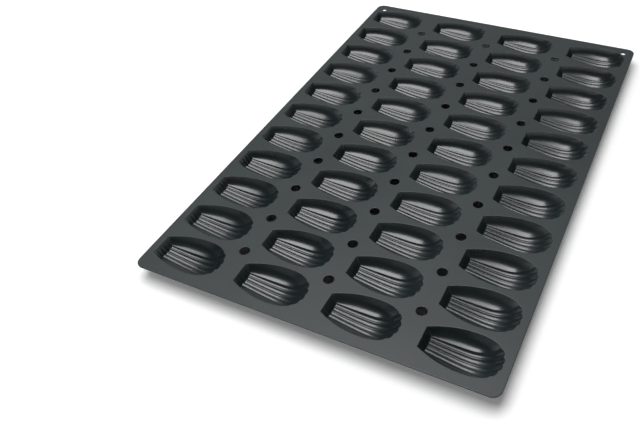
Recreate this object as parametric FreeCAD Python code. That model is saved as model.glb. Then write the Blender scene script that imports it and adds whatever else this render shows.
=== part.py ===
import FreeCAD, Part

import math
import os

# A one-piece silicone mould for madeleines: a thin sheet with rows of fluted shell-shaped
# hollows hanging below it. X runs along each hollow, from its narrow end to its wide end,
# Y along the rows, Z up. The mould stands on the bottoms of its hollows at Z = 0.

# Sheet, in millimetres
sheet_thickness = 2.0
corner_radius = 10.0
side_margin = 8.6
end_margin = 12.0

# Layout of the hollows
columns = 4
rows = 11
column_gap = 23.6
row_gap = 7.0

# Mouth of a hollow: straight across its narrow end, scalloped round its wide end
hollow_length = 78.0
hollow_width = 46.0
narrow_end_width = 24.0
widest_from_narrow_end = 45.0
knee_from_narrow_end = 20.0
wide_end_fullness = 2.45
scallop_spread = 15.5

# Inside of a hollow. Its crests run at these shares of the way to the outermost crest.
hollow_depth = 18.3
wall = 2.0
flute_depth = 1.8
crest_shares = (0.0, 0.57, 1.0)

# Floor at the foot of the sloping wall of the narrow end, where the flutes begin
narrow_depth = 10.3
narrow_wall_run = 5.0
narrow_crest_spread = 9.1
narrow_crown = 1.0

# Belly, where the floor is deepest
belly_crest_spread = 11.9
belly_crown = 2.7

# Shoulder, where the floor turns up to the wide end
shoulder_from_wide_end = 15.0
shoulder_depth = 14.8
shoulder_crest_spread = 13.6
shoulder_crown = 1.6
shoulder_sweep = 4.0
shoulder_tilt = 32.0
shoulder_side_sweep = 4.0

# Side walls, which bend once between the outermost crest and the lip
bend_reach_share = 0.24
bend_depth_share = 0.70

# Round holes: air holes between the columns, and two to hang the mould by, each tucked in
# beside the wide end of a corner hollow with a land between
air_hole_diameter = 11.0
hanging_hole_diameter = 6.0
hanging_hole_from_wide_end = 5.4
hanging_hole_land = 1.5

vector = FreeCAD.Vector
column_pitch = hollow_length + column_gap
row_pitch = hollow_width + row_gap
sheet_width = columns * hollow_length + (columns - 1) * column_gap + 2 * side_margin
sheet_length = rows * hollow_width + (rows - 1) * row_gap + 2 * end_margin
narrow_x = -hollow_length / 2
wide_x = hollow_length / 2
belly_x = narrow_x + widest_from_narrow_end
half_width = hollow_width / 2


# Half width of the mouth at x: a parabola from the narrow end to the belly, and from there a
# quarter of an oval that is fuller than an ellipse, whose fullness would be 2.
def mouth_half_width(x):
    if x < belly_x:
        share = (belly_x - x) / (belly_x - narrow_x)
        return half_width - (half_width - narrow_end_width / 2) * share ** 2
    share = (x - belly_x) / (wide_x - belly_x)
    return half_width * (1 - share ** wide_end_fullness) ** (1 / wide_end_fullness)


def lip_at(x):
    return vector(x, mouth_half_width(x), 0)


# The crests on one side of a station, from the middle one outwards. They are swept back and
# rise towards the side.
def crests(middle, spread, crown, sweep):
    return [middle + vector(-sweep * s * s, spread * s, crown * s * s) for s in crest_shares]


# Crests with a flute between each two, pushed out square to them: straight down at a tilt
# of 0, level at 90 degrees.
def fluted(crest_points, tilt):
    points = crest_points[:1]
    for inner, outer in zip(crest_points, crest_points[1:]):
        level = vector(outer.y - inner.y, inner.x - outer.x, 0).normalize()
        out = level * math.sin(math.radians(tilt))
        out.z = -math.cos(math.radians(tilt))
        points += [(inner + outer) / 2 + out * flute_depth, outer]
    return points


# Height of a middle crest that leaves the flutes beside it as deep as asked.
def crest_height(depth, crown, tilt):
    return flute_depth * math.cos(math.radians(tilt)) - crown * crest_shares[1] ** 2 / 2 - depth


# A station's points from the middle crest outwards, with the bend and the lip of its side.
def station(middle, spread, crown, sweep, tilt, lip):
    points = fluted(crests(middle, spread, crown, sweep), tilt)
    bend = lip + (points[-1] - lip) * bend_reach_share
    bend.z = points[-1].z * bend_depth_share
    return points + [bend, lip]


# The narrow station lies in the sloping end wall, so the depth of a point gives its x.
def narrow_station():
    points = crests(vector(narrow_x, 0, -narrow_depth), narrow_crest_spread, narrow_crown, 0)
    points.append(lip_at(narrow_x))
    slope = narrow_wall_run / narrow_depth
    return [vector(narrow_x - p.z * slope, p.y, p.z) for p in points]


def belly_station():
    middle = vector(belly_x, 0, crest_height(hollow_depth, belly_crown, 0))
    return station(middle, belly_crest_spread, belly_crown, 0, 0, lip_at(belly_x))


def shoulder_station():
    x = wide_x - shoulder_from_wide_end
    middle = vector(x, 0, crest_height(shoulder_depth, shoulder_crown, shoulder_tilt))
    lip = lip_at(x - shoulder_side_sweep)
    spread = shoulder_crest_spread
    return station(middle, spread, shoulder_crown, shoulder_sweep, shoulder_tilt, lip)


# The scalloped lip of the wide end. Its crests follow the same oval, set in so that the
# scallops reach the hollow's full length.
def scalloped_lip():
    spread = (scallop_spread / half_width) ** wide_end_fullness
    sweep = (wide_x - belly_x) * (1 - (1 - spread) ** (1 / wide_end_fullness))
    x = wide_x - flute_depth + sweep * crest_shares[1] ** 2 / 2
    return fluted(crests(vector(x, 0, 0), scallop_spread, 0, sweep), 90)


def strip(first, second):
    triangles = []
    for a, b, c, d in zip(first, second, second[1:], first[1:]):
        triangles += [(a, b, c), (a, c, d)]
    return triangles


# The side wall, from the outermost floor point of the narrow station to the end of the
# scalloped lip, and the points of its lip.
def side(floor, corner, belly, shoulder, scallop):
    knee = lip_at(narrow_x + knee_from_narrow_end)
    faces = [(floor, knee, corner), (floor, belly[-2], knee), (floor, belly[-3], belly[-2])]
    faces += [(belly[-2], belly[-1], knee)]
    faces += strip(belly[-3:], shoulder[-3:])
    faces += [(shoulder[-3], scallop, shoulder[-2]), (shoulder[-2], scallop, shoulder[-1])]
    return faces, [corner, knee, belly[-1], shoulder[-1]]


def mirrored(points):
    return [vector(p.x, -p.y, p.z) for p in points]


# A whole skin from the faces of its half at Y > 0 and those across the middle, with its lip.
def whole(half, middle, lip):
    faces = half + middle + [mirrored(face)[::-1] for face in half]
    return faces, lip + [p for p in mirrored(lip)[::-1] if p not in lip]


# The inner skin, in faces that look into the hollow. Each flute starts as a point on the
# narrow end's edge and widens from there.
def inner_skin():
    narrow = narrow_station()
    belly = belly_station()
    shoulder = shoulder_station()
    scallops = scalloped_lip()
    corner = narrow[-1]
    faces, lip = side(narrow[-2], corner, belly, shoulder, scallops[-1])
    for count in range(len(crest_shares) - 1):
        first, second = narrow[count : count + 2]
        crest, flute, following = belly[2 * count : 2 * count + 3]
        faces += [(corner, first, second), (first, crest, flute)]
        faces += [(first, flute, second), (second, flute, following)]
    faces += strip(belly[:-2], shoulder[:-2]) + strip(shoulder[:-2], scallops)
    middle = [(corner, mirrored(narrow)[-1], narrow[0])]
    return whole(faces, middle, lip + scallops[::-1])


# The plainer skin that the wall's outside follows: it runs through the bottoms of the flutes
# and leaves out the crests between them.
def envelope():
    narrow = narrow_station()
    belly = belly_station()[1:-2:2] + belly_station()[-2:]
    shoulder = shoulder_station()[1:-2:2] + shoulder_station()[-2:]
    scallops = scalloped_lip()[1::2]
    corner = narrow[-1]
    floor = narrow[-2]
    faces, lip = side(floor, corner, belly, shoulder, scallops[-1])
    faces += [(corner, narrow[0], floor), (narrow[0], belly[0], belly[1])]
    faces += [(narrow[0], belly[1], floor)]
    faces += strip(belly[:-2], shoulder[:-2]) + strip(shoulder[:-2], scallops)
    middle = [(corner, mirrored(narrow)[-1], narrow[0])]
    near = [mirrored(line)[0] for line in (belly, shoulder, scallops)]
    middle.append((narrow[0], near[0], belly[0]))
    middle.append((near[0], near[1], shoulder[0], belly[0]))
    middle.append((near[1], near[2], scallops[0], shoulder[0]))
    return whole(faces, middle, lip + scallops[::-1])


def key(point):
    return (round(point.x, 6), round(point.y, 6), round(point.z, 6))


# Where each point of a skin goes on the outside of the wall: out by the wall, square to the
# faces that meet there. A point of the lip goes to the underside of the sheet.
def outside(faces):
    places = {}
    meeting = {}
    for face in faces:
        normal = (face[2] - face[0]).cross(face[1] - face[0]).normalize()
        for before, point, after in zip(face[-1:] + face[:-1], face, face[1:] + face[:1]):
            angle = (before - point).getAngle(after - point)
            meeting.setdefault(key(point), []).append((normal, angle))
            places[key(point)] = point
    for name, group in meeting.items():
        out = vector(0, 0, 0)
        for normal, angle in group:
            out += normal * angle
        out.normalize()
        facing = sum(normal.dot(out) * angle for normal, angle in group)
        reach = wall * sum(angle for normal, angle in group) / facing
        shift = out * reach
        if key(places[name])[2] == 0:
            level = math.hypot(out.x, out.y)
            shift = out * ((reach + sheet_thickness * out.z) / level ** 2)
            shift.z = -sheet_thickness
        places[name] = places[name] + shift
    return places


def outline_of(points):
    return Part.makePolygon(list(points) + [points[0]])


def rounded_rectangle(width, length, radius, height):
    x = width / 2 - radius
    y = length / 2 - radius
    arcs = []
    for turn, (a, b) in enumerate(((x, y), (-x, y), (-x, -y), (x, -y))):
        circle = Part.Circle(vector(a, b, height), vector(0, 0, 1), radius)
        start = turn * math.pi / 2
        arcs.append(Part.Arc(circle, start, start + math.pi / 2))
    edges = []
    for arc, following in zip(arcs, arcs[1:] + arcs[:1]):
        edges.append(arc.toShape())
        edges.append(Part.LineSegment(arc.EndPoint, following.StartPoint).toShape())
    return Part.Wire(edges)


# Places of a grid of so many columns and rows, centred on the sheet.
def grid(across, along, height):
    xs = [(count - (across - 1) / 2) * column_pitch for count in range(across)]
    ys = [(count - (along - 1) / 2) * row_pitch for count in range(along)]
    return [vector(x, y, height) for x in xs for y in ys]


inner_faces, inner_lip = inner_skin()
envelope_faces, envelope_lip = envelope()
places = outside(envelope_faces)
outer_faces = [[places[key(p)] for p in reversed(face)] for face in envelope_faces]
outer_lip = [places[key(p)] for p in envelope_lip]
hollow = Part.Compound([Part.Face(outline_of(face)) for face in inner_faces + outer_faces])
hollow.sewShape()

sheet_top = -min(p.z for face in outer_faces for p in face)
hollow_places = grid(columns, rows, sheet_top)
air_hole_places = grid(columns - 1, rows - 1, sheet_top)

corner_hollow = hollow_places[-1]
hanging_x = wide_x - hanging_hole_from_wide_end
hanging_y = mouth_half_width(hanging_x) + wall + hanging_hole_land + hanging_hole_diameter / 2
hanging_place = corner_hollow + vector(hanging_x, hanging_y, 0)
circles = [Part.makeCircle(air_hole_diameter / 2, place) for place in air_hole_places]
for place in (hanging_place, vector(-hanging_place.x, hanging_place.y, sheet_top)):
    circles.append(Part.makeCircle(hanging_hole_diameter / 2, place))

down = vector(0, 0, -sheet_thickness)
edge = rounded_rectangle(sheet_width, sheet_length, corner_radius, sheet_top)
through = [edge] + [Part.Wire(circle) for circle in circles]
mouths = [outline_of([p + place for p in inner_lip]) for place in hollow_places]
roots = [outline_of([p + place for p in outer_lip]) for place in hollow_places]
faces = [Part.makeFace(through + mouths, "Part::FaceMakerBullseye")]
lowered = [wire.translated(down) for wire in through]
faces.append(Part.makeFace(lowered + roots, "Part::FaceMakerBullseye"))
for wire in through:
    faces += wire.extrude(down).Faces
for place in hollow_places:
    faces += hollow.translated(place).Faces
surface = Part.Compound(faces)
surface.sewShape()
mould = Part.Solid(surface.Shells[0])
if mould.Volume < 0:
    mould.reverse()

os.makedirs("parts", exist_ok=True)
mould.exportStep("parts/mould.step")
size = mould.BoundBox
print("mould", round(size.XLength, 2), round(size.YLength, 2), round(size.ZLength, 2))
print("volume", round(mould.Volume), "shells", len(surface.Shells))
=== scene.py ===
import math

import bmesh
import bpy
from mathutils import Matrix, Vector


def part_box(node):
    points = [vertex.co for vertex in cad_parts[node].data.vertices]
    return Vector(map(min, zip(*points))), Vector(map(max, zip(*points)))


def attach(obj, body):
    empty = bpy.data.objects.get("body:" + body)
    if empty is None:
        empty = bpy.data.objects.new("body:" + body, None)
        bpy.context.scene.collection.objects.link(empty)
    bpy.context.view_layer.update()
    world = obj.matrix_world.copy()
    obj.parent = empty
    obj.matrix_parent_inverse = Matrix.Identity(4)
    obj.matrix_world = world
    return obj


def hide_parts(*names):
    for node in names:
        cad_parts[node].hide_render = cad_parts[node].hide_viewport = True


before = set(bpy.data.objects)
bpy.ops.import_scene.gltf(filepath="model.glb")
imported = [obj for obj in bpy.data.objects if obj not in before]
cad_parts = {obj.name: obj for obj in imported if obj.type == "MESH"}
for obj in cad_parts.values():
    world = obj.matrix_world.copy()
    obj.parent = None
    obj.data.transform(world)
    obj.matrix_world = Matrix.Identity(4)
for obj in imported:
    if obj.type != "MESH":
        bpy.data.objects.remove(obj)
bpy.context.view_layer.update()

mouldLow, mouldHigh = [Vector(corner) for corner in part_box("mould")]
mm = 0.001


# One hollow, in millimetres from its own centre, at the level of the sheet's top.
# The crests are given from the middle one outwards
hollow = {
    "length": 78.0,
    "width": 46.0,
    "depth": 18.3,
    "narrowWidth": 24.0,
    "bellyX": 6.0,
    "fullness": 2.45,           # how square the wide end's curve is, 2 for an ellipse
    "wallRun": 5.0,             # how far the narrow end's wall slopes in
    "narrowCrests": ((0.0, 10.3), (5.3, 10.0), (9.1, 9.3)),      # y and depth at the narrow foot
    "bellyCrests": ((0.0, 16.9), (6.8, 16.1), (11.9, 14.2)),     # y and depth at the belly
    "rimCrests": ((38.2, 0.0), (36.6, 7.9), (31.8, 15.5)),       # x and y at the wide rim
    "fluteShare": 0.27,         # depth of a flute as a share of its width
    "fluteArc": 56.7,           # half the angle of a flute's arc
    "sideArc": (4.0, 82.0),     # the side wall's arc, from its crest to the rim
    "sideRimX": 20.0,           # where the side wall goes over into the scalloped end
    "notchShare": 0.12,         # share of the last scallop that bends in to its notch
    "domePower": 2.5,           # how sharply the floor turns up at the wide end
    "floorEasing": 1.3,         # how gently the floor leaves the belly for the narrow foot
    "lipRadius": 0.4,
    "lipLand": 0.4,             # width of the flat strip round the lip
    "lipTurns": 2,
    "evening": 2,               # times that the directions out of a rim are evened out
}

# How finely the hollow's inside is divided: up the narrow wall, along the floor and the dome,
# then across a flute and the side wall
insideSteps = {
    "wall": [-2.0, -1.5, -1.06, -1.0],
    "floorStart": -0.98,
    "floor": 12,
    "dome": 15,
    "flute": (0.0, 0.1, 0.3, 0.5, 0.7, 0.9),
    "side": (0.0, 0.06, 0.25, 0.5, 0.75, 1.0),
}

# The same for its outside
outsideSteps = {
    "wall": [-2.0, -1.5],
    "floorStart": -1.0,
    "floor": 4,
    "dome": 6,
    "flute": (0.0, 0.25, 0.5, 0.75),
    "side": (0.0, 0.2, 0.5, 0.75, 1.0),
}

narrowX = -hollow["length"] / 2
wideX = hollow["length"] / 2
halfWidth = hollow["width"] / 2
bellyX = hollow["bellyX"]


def lerp(a, b, share):
    return a + (b - a) * share


def stepsOf(count, low, high):
    return [lerp(low, high, turn / count) for turn in range(count + 1)]


def mouthHalfWidth(x):
    if x < bellyX:
        share = (bellyX - x) / (bellyX - narrowX)
        return halfWidth - (halfWidth - hollow["narrowWidth"] / 2) * share ** 2
    share = min((x - bellyX) / (wideX - bellyX), 1.0)
    return halfWidth * (1 - share ** hollow["fullness"]) ** (1 / hollow["fullness"])


# How far along the dome a point is: level share, depth share and the tilt of its normal
def domeShares(along):
    level = math.sin(math.pi / 2 * along)
    power = hollow["domePower"]
    slope = power * level ** (power - 1) * hollow["depth"] / (wideX - bellyX)
    return level, 1 - level ** power, math.atan(slope)


def floorX(share, depth):
    slope = hollow["wallRun"] / hollow["narrowCrests"][0][1]
    return lerp(bellyX, narrowX, share) + share ** 2 * slope * depth


# A point on one crest. along runs from -1 at the narrow foot by 0 at the belly to 1 at the rim
def crestPoint(along, number):
    narrowY, narrowDepth = hollow["narrowCrests"][number]
    bellyY, bellyDepth = hollow["bellyCrests"][number]
    rimX, rimY = hollow["rimCrests"][number]
    if along <= 0:
        depth = lerp(bellyDepth, narrowDepth, (-along) ** hollow["floorEasing"])
        return Vector((floorX(-along, depth), lerp(bellyY, narrowY, -along), -depth))
    level, deep, tilt = domeShares(along)
    run = (rimX - bellyX) * level
    slope = (bellyY - narrowY) / (bellyX - narrowX)
    bend = (rimY - bellyY - slope * (rimX - bellyX)) / (rimX - bellyX) ** 2
    return Vector((bellyX + run, bellyY + slope * run + bend * run ** 2, -bellyDepth * deep))


# A point in a flute between two crests, pushed out square to them
def flutePoint(along, number, share):
    inner = crestPoint(along, number)
    outer = crestPoint(along, number + 1)
    arc = math.radians(hollow["fluteArc"])
    angle = arc * (2 * share - 1)
    chord = outer - inner
    tilt = domeShares(along)[2] if along > 0 else 0.0
    level = Vector((chord.y, -chord.x, 0)).normalized()
    out = level * math.sin(tilt) - Vector((0, 0, 1)) * math.cos(tilt)
    bulge = (math.cos(angle) - math.cos(arc)) / (1 - math.cos(arc))
    place = inner + chord * (1 + math.sin(angle) / math.sin(arc)) / 2
    return place + out * chord.length * hollow["fluteShare"] * bulge


# A point of the side wall, between the outermost crest and the rim
def sidePoint(along, share):
    crest = crestPoint(along, 2)
    low, high = [math.radians(angle) for angle in hollow["sideArc"]]
    angle = lerp(low, high, share)
    across = (math.sin(angle) - math.sin(low)) / (math.sin(high) - math.sin(low))
    deep = (math.cos(angle) - math.cos(high)) / (math.cos(low) - math.cos(high))
    depth = -crest.z * deep
    if along <= 0:
        rimY = mouthHalfWidth(lerp(bellyX, narrowX, -along))
        return Vector((floorX(-along, depth), lerp(crest.y, rimY, across), -depth))
    level = domeShares(along)[0]
    rimX = lerp(bellyX, hollow["sideRimX"], level)
    place = Vector((lerp(crest.x, rimX, across), lerp(crest.y, mouthHalfWidth(rimX), across), -depth))
    notch = Vector(hollow["rimCrests"][2])
    end = Vector((hollow["sideRimX"], mouthHalfWidth(hollow["sideRimX"])))
    x = lerp(notch.x, end.x, across)
    pinch = max(1 - across / hollow["notchShare"], 0.0) ** 2
    onRim = Vector((x, lerp(mouthHalfWidth(x), notch.y, pinch)))
    shift = (onRim - notch.lerp(end, across)) * level ** 4
    return place + Vector((shift.x, shift.y, 0))


# Any point of the hollow's inside. across runs from -3 to 3 with a crest at each whole number
# between; along goes on to -2 up the narrow end's wall
def hollowPoint(along, across):
    size = abs(across)
    floor = max(along, -1.0)
    if size <= 2:
        number = min(int(size), 1)
        point = flutePoint(floor, number, size - number)
    else:
        point = sidePoint(floor, size - 2)
    if along < -1:
        point = point.lerp(Vector((narrowX, point.y, 0)), -1 - along)
    if across < 0:
        point.y = -point.y
    radius = hollow["lipRadius"]
    point.z = -radius + point.z * (hollow["depth"] - radius) / hollow["depth"]
    return point * mm


# The hollow's inside as a grid, divided as a dictionary of steps says
def hollowGrid(steps):
    along = steps["wall"] + stepsOf(steps["floor"], steps["floorStart"], 0.0)[:-1]
    along += stepsOf(steps["dome"], 0.0, 1.0)
    half = [number + share for number in (0, 1) for share in steps["flute"]]
    half += [2 + share for share in steps["side"]]
    across = [-value for value in half[:0:-1]] + half
    columns = len(along) - 1
    rows = len(across) - 1
    mesh = bmesh.new()
    grid = bmesh.ops.create_grid(mesh, x_segments=columns, y_segments=rows, size=1)["verts"]
    for vert in grid:
        column = round((vert.co.x + 1) / 2 * columns)
        row = round((vert.co.y + 1) / 2 * rows)
        vert.co = hollowPoint(along[column], across[row])
    bmesh.ops.remove_doubles(mesh, verts=grid, dist=sheet["gridWeld"] * mm)
    return mesh


def openEdges(mesh):
    return [edge for edge in mesh.edges if edge.is_boundary]


# The vertices of a closed row of edges, in order, anticlockwise seen from above
def loopOf(edges):
    left = set(edges[1:])
    loop = list(edges[0].verts)
    while left:
        following = [edge for edge in loop[-1].link_edges if edge in left]
        if not following:
            break
        left.discard(following[0])
        loop.append(following[0].other_vert(loop[-1]))
    if loop[0] == loop[-1]:
        loop.pop()
    area = sum(a.co.x * b.co.y - b.co.x * a.co.y for a, b in zip(loop, loop[1:] + loop[:1]))
    return loop if area > 0 else loop[::-1]


# Level directions that point out of a loop, evened out along it
def outwardFrom(loop, evening):
    directions = []
    for before, after in zip(loop[-1:] + loop[:-1], loop[1:] + loop[:1]):
        run = after.co - before.co
        directions.append(Vector((run.y, -run.x, 0)).normalized())
    for turn in range(evening):
        around = zip(directions[-1:] + directions[:-1], directions, directions[1:] + directions[:1])
        directions = [(a + b * 2 + c).normalized() for a, b, c in around]
    return directions


# Extrudes a closed row of edges through a profile, a list of steps out from its loop and heights
def growRim(mesh, edges, profile, evening=0):
    loop = loopOf(edges)
    anchors = {}
    for vert, direction in zip(loop, outwardFrom(loop, evening)):
        anchors[vert] = (vert.co.copy(), direction)
    for out, height in profile:
        grown = bmesh.ops.extrude_edge_only(mesh, edges=edges)["geom"]
        edges = [item for item in grown if isinstance(item, bmesh.types.BMEdge)]
        verts = [item for item in grown if isinstance(item, bmesh.types.BMVert)]
        moved = {}
        for vert in verts:
            for edge in vert.link_edges:
                if edge.other_vert(vert) in anchors:
                    moved[vert] = anchors[edge.other_vert(vert)]
        for vert, (place, direction) in moved.items():
            vert.co = place + direction * out * mm
            vert.co.z = height * mm
        anchors = moved
    return edges


# A quarter round from an upright wall to a level face. side is 1 away from the loop's middle
# or -1 towards it, and up is 1 to the top face or -1 to the underside
def quarterRound(radius, level, side, up, turns, land=0.0):
    steps = []
    for turn in range(1, turns + 1):
        angle = math.pi / 2 * turn / turns
        steps.append((side * radius * (1 - math.cos(angle)),
                      level - up * radius * (1 - math.sin(angle))))
    if land:
        steps.append((side * (radius + land), level))
    return steps


# The sheet that carries the hollows, in millimetres
sheet = {
    "columns": 4,
    "rows": 11,
    "columnPitch": 101.6,
    "rowPitch": 53.0,
    "thickness": 2.0,
    "wall": 2.0,                # thickness of the hollows' walls
    "cornerRadius": 10.0,
    "cornerTurns": 8,
    "rootRadius": 0.6,          # where a hollow's outside meets the underside
    "rootTurns": 2,
    "edgeRadius": 0.7,          # rounding of the outer edge and of the holes' edges
    "edgeTurns": 3,
    "land": 0.3,                # width of the flat strip beside that rounding
    "airHole": 11.0,
    "hangingHole": 6.0,
    "hangingPlace": (186.0, 286.56),
    "holeSides": 36,
    "gridWeld": 0.001,          # points of a hollow that are nearer than this are one
    "weld": 0.0005,             # and so are points of the whole mould
    "onCut": 0.0001,            # points this near the cut under the sheet count as on it
    "fillTurn": 0.5,            # turned this far while the sheet is filled
}


def innerSkin():
    mesh = hollowGrid(insideSteps)
    inside = mesh.faces[:]
    lip = quarterRound(hollow["lipRadius"], 0.0, 1, 1, hollow["lipTurns"], hollow["lipLand"])
    growRim(mesh, openEdges(mesh), lip, hollow["evening"])
    for face in inside:
        face.material_index = 1
    return mesh


# The inside moved out by the wall, cut off under the sheet and rounded into it
def outerSkin():
    mesh = hollowGrid(outsideSteps)
    bmesh.ops.recalc_face_normals(mesh, faces=mesh.faces)
    if sum(face.normal.z for face in mesh.faces) > 0:
        bmesh.ops.reverse_faces(mesh, faces=mesh.faces)
    mesh.normal_update()
    shifts = [(vert, vert.normal * vert.calc_shell_factor()) for vert in mesh.verts]
    for vert, shift in shifts:
        vert.co += shift * sheet["wall"] * mm
    root = -(sheet["thickness"] + sheet["rootRadius"]) * mm
    everything = mesh.verts[:] + mesh.edges[:] + mesh.faces[:]
    bmesh.ops.bisect_plane(mesh, geom=everything, plane_co=(0, 0, root), plane_no=(0, 0, 1),
                           dist=sheet["onCut"] * mm, clear_outer=True)
    fillet = quarterRound(sheet["rootRadius"], -sheet["thickness"], 1, 1, sheet["rootTurns"])
    growRim(mesh, openEdges(mesh), fillet, hollow["evening"])
    return mesh


# Adds a wall through the sheet from the loop that has no faces yet, with both its edges rounded.
# side is 1 for a hole and -1 for the sheet's own outline
def sheetWall(mesh, side):
    edges = [edge for edge in mesh.edges if edge.is_wire]
    radius = sheet["edgeRadius"]
    for edge in edges:
        for vert in edge.verts:
            vert.co.z = -radius * mm
    upper = quarterRound(radius, 0.0, side, 1, sheet["edgeTurns"], sheet["land"])
    lower = [(0.0, radius - sheet["thickness"])]
    lower += quarterRound(radius, -sheet["thickness"], side, -1, sheet["edgeTurns"], sheet["land"])
    return growRim(mesh, edges, upper) + growRim(mesh, edges, lower)


# Places of an even grid round the sheet's middle, at the hollows' pitches
def gridPlaces(columns, rows):
    for row in range(rows):
        for column in range(columns):
            yield Vector(((column - (columns - 1) / 2) * sheet["columnPitch"],
                          (row - (rows - 1) / 2) * sheet["rowPitch"], 0)) * mm


# Width and place of the air holes between the hollows, then of the two hanging holes
def holePlaces():
    for place in gridPlaces(sheet["columns"] - 1, sheet["rows"] - 1):
        yield sheet["airHole"], place
    x, y = sheet["hangingPlace"]
    for side in (-1, 1):
        yield sheet["hangingHole"], Vector((side * x, y, 0)) * mm


# The sheet's outline and holes. Gives back the edges of their rims
def addOutline(mesh):
    corners = bmesh.ops.create_grid(mesh, x_segments=1, y_segments=1, size=0.5)["verts"]
    bmesh.ops.scale(mesh, verts=corners, vec=mouldHigh - mouldLow)
    bmesh.ops.bevel(mesh, geom=corners, offset=sheet["cornerRadius"] * mm, offset_type="OFFSET",
                    segments=sheet["cornerTurns"], profile=0.5, affect="VERTICES", material=-1)
    bmesh.ops.delete(mesh, geom=mesh.faces[:], context="FACES_ONLY")
    rims = sheetWall(mesh, -1)
    for width, place in holePlaces():
        circle = bmesh.ops.create_circle(mesh, segments=sheet["holeSides"], radius=width / 2 * mm)
        bmesh.ops.translate(mesh, verts=circle["verts"], vec=place)
        rims += sheetWall(mesh, 1)
    return rims


# Sets a skin at every hollow's place. Gives back the edges of their rims
def addSkins(mesh, skin):
    one = bpy.data.meshes.new("one")
    skin.to_mesh(one)
    print("skin", len(skin.faces), "faces")
    skin.free()
    rims = []
    for place in gridPlaces(sheet["columns"], sheet["rows"]):
        verts, edges = len(mesh.verts), len(mesh.edges)
        mesh.from_mesh(one)
        mesh.verts.ensure_lookup_table()
        mesh.edges.ensure_lookup_table()
        bmesh.ops.translate(mesh, verts=mesh.verts[verts:], vec=place)
        rims += [edge for edge in mesh.edges[edges:] if edge.is_boundary]
    bpy.data.meshes.remove(one)
    return rims


# Closes the sheet's top and underside between the rims. The fill is surer with no two rims
# level with each other, so the mould is turned for it
def fillSheet(mesh, rims):
    middle = -sheet["thickness"] / 2 * mm
    top = [edge for edge in rims if edge.verts[0].co.z > middle]
    under = [edge for edge in rims if edge.verts[0].co.z < middle]
    turn = Matrix.Rotation(sheet["fillTurn"], 3, "Z")
    bmesh.ops.rotate(mesh, verts=mesh.verts, cent=(0, 0, 0), matrix=turn)
    for loops, up in ((top, 1), (under, -1)):
        bmesh.ops.triangle_fill(mesh, edges=loops, normal=(0, 0, up), use_beauty=False)
    bmesh.ops.rotate(mesh, verts=mesh.verts, cent=(0, 0, 0), matrix=turn.inverted())


def mouldMesh():
    mesh = bmesh.new()
    rims = addOutline(mesh)
    rims += addSkins(mesh, outerSkin())
    rims += addSkins(mesh, innerSkin())
    fillSheet(mesh, rims)
    bmesh.ops.remove_doubles(mesh, verts=mesh.verts, dist=sheet["weld"] * mm)
    bmesh.ops.recalc_face_normals(mesh, faces=mesh.faces)
    bmesh.ops.translate(mesh, verts=mesh.verts, vec=(0, 0, mouldHigh.z))
    loose = [edge for edge in mesh.edges if not edge.is_manifold]
    print("mould", len(mesh.faces), "faces,", len(loose), "open edges")
    return mesh


def pieceOf(name, mesh):
    data = bpy.data.meshes.new(name)
    mesh.to_mesh(data)
    mesh.free()
    for face in data.polygons:
        face.use_smooth = True
    piece = bpy.data.objects.new(name, data)
    bpy.context.scene.collection.objects.link(piece)
    return piece


# Shader values with ordinary arithmetic
class Shade:
    def __init__(self, finish, socket):
        self.finish = finish
        self.socket = socket

    def reckon(self, operation, first, second):
        return self.finish.make("ShaderNodeMath", {0: first, 1: second}, operation=operation)

    def __add__(self, other):
        return self.reckon("ADD", self, other)

    def __radd__(self, other):
        return self.reckon("ADD", other, self)

    def __mul__(self, other):
        return self.reckon("MULTIPLY", self, other)

    def __rmul__(self, other):
        return self.reckon("MULTIPLY", other, self)


# The nodes of a material or of the world
class Finish:
    def __init__(self, owner):
        owner.use_nodes = True
        self.tree = owner.node_tree
        self.tree.nodes.clear()

    # One node with its settings, and then the values or links of its sockets
    def make(self, kind, inputs, output=0, **settings):
        node = self.tree.nodes.new(kind)
        for name, value in settings.items():
            setattr(node, name, value)
        for place, value in inputs.items():
            if isinstance(value, Shade):
                self.tree.links.new(value.socket, node.inputs[place])
            else:
                node.inputs[place].default_value = value
        return Shade(self, node.outputs[output]) if node.outputs else None

    def noise(self, place, scale, detail):
        return self.make("ShaderNodeTexNoise", {"Vector": place, "Scale": scale, "Detail": detail})

    # A value brought from one span of values to another, and held inside it
    def span(self, value, low, high, newLow=0.0, newHigh=1.0, **settings):
        return self.make("ShaderNodeMapRange", {
            "Value": value, "From Min": low, "From Max": high,
            "To Min": newLow, "To Max": newHigh}, **settings)

    def blend(self, share, first, second):
        return self.make("ShaderNodeMix", {0: share, 6: first, 7: second}, 2, data_type="RGBA")


# Silicone, satin on the sheet and glossier inside the hollows
siliconeLook = {
    "patchScale": 14.0,
    "patchDetail": 3.0,
    "patchShare": 0.8,          # how much of the colour follows the patches
    "grainScale": 250.0,
    "grainDetail": 2.0,
    "grainShare": 0.2,          # and how much follows the grain
    "toneSpan": (0.35, 0.65),   # the part of that pattern that goes from dark to pale
    "sheenSpan": (0.3, 0.7),    # the part of the patches that goes from smoother to rougher
    "sheenSpread": 0.05,
    "bump": 0.2,
    "grainHeight": 0.000002,
    "refraction": 1.5,
}
sheetLook = {
    "dark": (0.021, 0.030, 0.031, 1),
    "pale": (0.027, 0.038, 0.039, 1),
    "specular": 0.68,
    "roughness": 0.45,
}
hollowLook = {
    "dark": (0.009, 0.016, 0.017, 1),
    "pale": (0.014, 0.023, 0.024, 1),
    "specular": 1.0,
    "roughness": 0.29,
}


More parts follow.
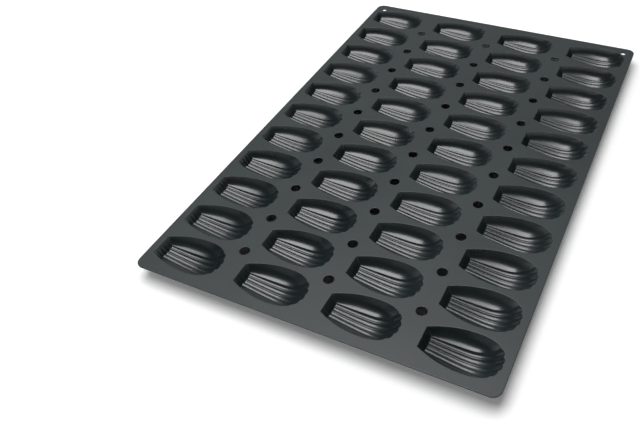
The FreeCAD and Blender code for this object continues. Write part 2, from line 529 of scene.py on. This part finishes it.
def siliconeFinish(name, part):
    look = siliconeLook
    material = bpy.data.materials.new(name)
    finish = Finish(material)
    place = finish.make("ShaderNodeTexCoord", {}, "Object")
    patches = finish.noise(place, look["patchScale"], look["patchDetail"])
    grain = finish.noise(place, look["grainScale"], look["grainDetail"])
    pattern = patches * look["patchShare"] + grain * look["grainShare"]
    colour = finish.blend(finish.span(pattern, *look["toneSpan"]), part["dark"], part["pale"])
    roughness = finish.span(patches, *look["sheenSpan"], part["roughness"] - look["sheenSpread"],
                            part["roughness"] + look["sheenSpread"])
    bump = finish.make("ShaderNodeBump", {
        "Height": grain, "Strength": look["bump"], "Distance": look["grainHeight"]})
    shader = finish.make("ShaderNodeBsdfPrincipled", {
        "Base Color": colour, "Roughness": roughness, "Normal": bump,
        "IOR": look["refraction"], "Specular IOR Level": part["specular"]})
    finish.make("ShaderNodeOutputMaterial", {"Surface": shader})
    return material


mould = pieceOf("mouldSheet", mouldMesh())
mould.data.materials.append(siliconeFinish("siliconeSheet", sheetLook))
mould.data.materials.append(siliconeFinish("siliconeHollow", hollowLook))
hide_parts("mould")
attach(mould, "root")
print("mould dressed")


# The floor, in metres. The camera sees it white away from the mould, and near it the mould's shadow,
# lightened by a painted glow that grows from under the mould's edge to white
floorLook = {
    "size": 12.0,
    "drop": 0.0005,             # how far below the mould it lies
    "tone": (0.94, 0.94, 0.94, 1),
    "roughness": 0.9,
    "specular": 0.1,
    "inset": 0.024,             # how far in from the mould's edge the painted glow begins
    "underReach": 0.006,        # over this much it grows to the painted glow under the edge
    # painted light that lifts the mould's shadow under its edge
    "paintedUnderGlow": 0.17,
    "reach": 0.10,              # and from the edge, over this much, the painted glow grows to white
    "unlit": (0, 0, 0, 1),
    "white": (1, 1, 1, 1),
}


def floorFinish():
    look = floorLook
    material = bpy.data.materials.new("floor")
    finish = Finish(material)
    place = finish.make("ShaderNodeTexCoord", {}, "Object")
    folded = finish.make("ShaderNodeVectorMath", {0: place}, operation="ABSOLUTE")
    edge = mouldHigh - Vector((look["inset"], look["inset"], 0))
    past = finish.make("ShaderNodeVectorMath", {0: folded, 1: edge}, operation="SUBTRACT")
    outside = finish.make("ShaderNodeVectorMath", {0: past, 1: (0, 0, 0)}, operation="MAXIMUM")
    away = finish.make("ShaderNodeVectorMath", {0: outside}, "Value", operation="LENGTH")
    # Painted light that only the camera sees: it lifts the mould's shadow under the edge, then fades
    # up to white away from it
    under = finish.span(away, 0.0, look["underReach"], 0.0, look["paintedUnderGlow"])
    paintedFadeToWhite = finish.span(away, look["inset"], look["inset"] + look["reach"],
                         0.0, 1 - look["paintedUnderGlow"])
    seen = finish.make("ShaderNodeLightPath", {}, "Is Camera Ray")
    paintedGlow = finish.blend(seen * (under + paintedFadeToWhite), look["unlit"], look["white"])
    shader = finish.make("ShaderNodeBsdfPrincipled", {
        "Base Color": look["tone"], "Roughness": look["roughness"],
        "Specular IOR Level": look["specular"], "Emission Color": paintedGlow, "Emission Strength": 1.0})
    finish.make("ShaderNodeOutputMaterial", {"Surface": shader})
    return material


def makeFloor():
    mesh = bmesh.new()
    bmesh.ops.create_grid(mesh, x_segments=1, y_segments=1, size=floorLook["size"] / 2)
    floor = pieceOf("floor", mesh)
    floor.location.z = -floorLook["drop"]
    floor.data.materials.append(floorFinish())


# What the mould sees round it: a dim sky, a bright low horizon and a soft glow behind it
studio = {
    "sky": (0.03, 0.031, 0.033, 1),
    "horizon": (1.6, 1.6, 1.6, 1),
    "horizonSpan": (0.20, 0.08),        # height at which it begins, and is in full
    "window": (0.44, 0.45, 0.46, 1),
    "windowPlace": (-0.36, 0.61, 0.71),
    "windowSpan": (0.72, 0.98),         # nearness to its place at which it begins, and is in full
    "white": (1, 1, 1, 1),              # what the camera sees
}


def makeWorld():
    world = bpy.data.worlds.new("studio")
    bpy.context.scene.world = world
    finish = Finish(world)
    place = finish.make("ShaderNodeTexCoord", {}, "Generated")
    height = finish.make("ShaderNodeSeparateXYZ", {0: place}, "Z")
    sky = finish.blend(finish.span(height, *studio["horizonSpan"]), studio["sky"], studio["horizon"])
    nearness = finish.make("ShaderNodeVectorMath", {0: place, 1: studio["windowPlace"]}, "Value",
                           operation="DOT_PRODUCT")
    share = finish.span(nearness, *studio["windowSpan"], interpolation_type="SMOOTHSTEP")
    light = finish.make("ShaderNodeBackground", {"Color": finish.blend(share, sky, studio["window"])})
    white = finish.make("ShaderNodeBackground", {"Color": studio["white"]})
    seen = finish.make("ShaderNodeLightPath", {}, "Is Camera Ray")
    either = finish.make("ShaderNodeMixShader", {0: seen, 1: light, 2: white})
    finish.make("ShaderNodeOutputWorld", {"Surface": either})


# One soft box over the mould, in metres and watts
softBox = {
    "place": (-0.27, -0.23, 1.8),
    "aim": (-0.27, -0.23, 0),
    "width": 1.2,
    "length": 1.5,
    "power": 28.0,
}


def makeSoftBox():
    data = bpy.data.lights.new("softBoxAbove", "AREA")
    data.shape = "RECTANGLE"
    data.size = softBox["width"]
    data.size_y = softBox["length"]
    data.energy = softBox["power"]
    lamp = bpy.data.objects.new("softBoxAbove", data)
    lamp.location = softBox["place"]
    beam = Vector(softBox["aim"]) - Vector(softBox["place"])
    lamp.rotation_euler = beam.to_track_quat("-Z", "Y").to_euler()
    bpy.context.scene.collection.objects.link(lamp)


# The camera's place in metres, and its lens in millimetres
camera = {
    "place": (0.26391, -0.60147, 0.54166),
    "forward": (-0.3319, 0.63415, -0.69835),
    "right": (0.90541, 0.42192, -0.04718),
    "lens": 38.105,
    "sensor": 36.0,
    "shift": (-0.10873, 0.0),
    "clip": (0.01, 50.0),
}


def makeCamera():
    data = bpy.data.cameras.new("camera")
    data.lens = camera["lens"]
    data.sensor_width = camera["sensor"]
    data.shift_x, data.shift_y = camera["shift"]
    data.clip_start, data.clip_end = camera["clip"]
    eye = bpy.data.objects.new("camera", data)
    back = -Vector(camera["forward"]).normalized()
    right = Vector(camera["right"]).normalized()
    up = back.cross(right).normalized()
    right = up.cross(back)
    turn = Matrix((right, up, back)).transposed().to_4x4()
    eye.matrix_world = Matrix.Translation(camera["place"]) @ turn
    bpy.context.scene.collection.objects.link(eye)
    bpy.context.scene.camera = eye


makeFloor()
makeWorld()
makeSoftBox()
makeCamera()
bpy.context.scene.view_settings.view_transform = "Standard"
print("stage set")

bpy.context.view_layer.update()
